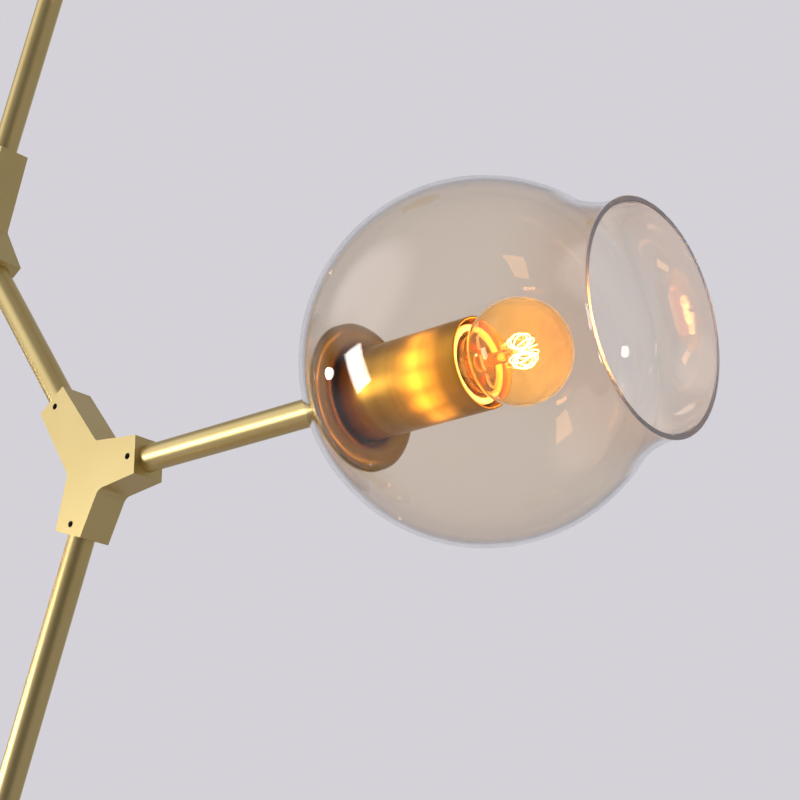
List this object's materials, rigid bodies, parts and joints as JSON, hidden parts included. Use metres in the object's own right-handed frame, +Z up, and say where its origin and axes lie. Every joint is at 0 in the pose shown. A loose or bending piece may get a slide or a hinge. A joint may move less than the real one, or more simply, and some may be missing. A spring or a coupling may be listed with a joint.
{
  "type": "branching ceiling light",
  "caption": "Branching ceiling light: gold rods meet in flat Y blocks and carry amber blown glass globes with flared mouths over small round bulbs.",
  "frame": {"origin": "on the ceiling, in the middle between the two fixing slots", "axes": "+Z up, both Y blocks and all rods lie in the XZ plane, -Y is the side with the grub screws, +X towards the right head"},
  "size_m": [0.7338, 0.15, 0.8312],
  "materials": {
    "satin_brass": "satin champagne gold",
    "brushed_brass": "brushed round the axis",
    "zinc_steel": "zinc plated",
    "white_plastic": "matte",
    "lead_sheath": "matte",
    "dark_screw": "blackened",
    "silicone": "translucent matte",
    "amber_glass": "clear amber, polished",
    "cream_ceramic": "glazed",
    "bright_brass": "bright",
    "bulb_glass": "clear, polished",
    "nickel_cap": "bright",
    "lit_filament": "glowing"
  },
  "bodies": {
    "ceiling_mount": {"ceiling_plate": "zinc_steel", "plate_nipple": "zinc_steel", "plate_nuts": "zinc_steel", "terminal_block": "white_plastic", "earth_screw": "zinc_steel", "supply_lead": "lead_sheath"},
    "canopy_cover": {"canopy": "satin_brass", "canopy_collar": "satin_brass", "collar_screw": "dark_screw"},
    "upper_frame": {"stem": "satin_brass", "upper_block": "satin_brass", "upper_block_screws": "dark_screw", "link_rod": "satin_brass", "upper_wiring": "lead_sheath", "left_rod": "satin_brass", "left_cap": "satin_brass", "left_gaskets": "silicone", "left_shade": "amber_glass", "left_dish": "brushed_brass", "left_nipple": "zinc_steel", "left_cup": "brushed_brass", "left_lampholder": "cream_ceramic", "left_screw_shell": "bright_brass", "left_contact": "bright_brass"},
    "lower_frame": {"lower_block": "satin_brass", "lower_block_screws": "dark_screw", "lower_wiring": "lead_sheath", "right_rod": "satin_brass", "right_cap": "satin_brass", "right_gaskets": "silicone", "right_shade": "amber_glass", "right_dish": "brushed_brass", "right_nipple": "zinc_steel", "right_cup": "brushed_brass", "right_lampholder": "cream_ceramic", "right_screw_shell": "bright_brass", "right_contact": "bright_brass", "drop_rod": "satin_brass", "drop_cap": "satin_brass", "drop_gaskets": "silicone", "drop_shade": "amber_glass", "drop_dish": "brushed_brass", "drop_nipple": "zinc_steel", "drop_cup": "brushed_brass", "drop_lampholder": "cream_ceramic", "drop_screw_shell": "bright_brass", "drop_contact": "bright_brass"},
    "right_bulb": {"right_bulb_glass": "bulb_glass", "right_bulb_cap": "nickel_cap", "right_bulb_stem": "bulb_glass", "right_filament": "lit_filament"},
    "drop_bulb": {"drop_bulb_glass": "bulb_glass", "drop_bulb_cap": "nickel_cap", "drop_bulb_stem": "bulb_glass", "drop_filament": "lit_filament"},
    "left_bulb": {"left_bulb_glass": "bulb_glass", "left_bulb_cap": "nickel_cap", "left_bulb_stem": "bulb_glass", "left_filament": "lit_filament"}
  },
  "joints": [
    {"name": "frame_turn", "type": "hinge", "parent": "ceiling_mount", "child": "upper_frame", "pos_m": [0, 0, -0.03], "axis": [0, 0, 1], "range_deg": [-170, 170]},
    {"name": "canopy_slide", "type": "slide", "parent": "upper_frame", "child": "canopy_cover", "axis": [0, 0, -1], "range_m": [0, 0.2]},
    {"name": "lower_turn", "type": "hinge", "parent": "upper_frame", "child": "lower_frame", "pos_m": [0.15072, 0, -0.49054], "axis": [0.8192, 0, -0.5736], "range_deg": [-170, 170]},
    {"name": "right_bulb_out", "type": "slide", "parent": "lower_frame", "child": "right_bulb", "axis": [0.9397, 0, 0.342], "range_m": [0, 0.03]},
    {"name": "drop_bulb_out", "type": "slide", "parent": "lower_frame", "child": "drop_bulb", "axis": [0, 0, -1], "range_m": [0, 0.03]},
    {"name": "left_bulb_out", "type": "slide", "parent": "upper_frame", "child": "left_bulb", "axis": [-0.8192, 0, -0.5736], "range_m": [0, 0.03]}
  ]
}
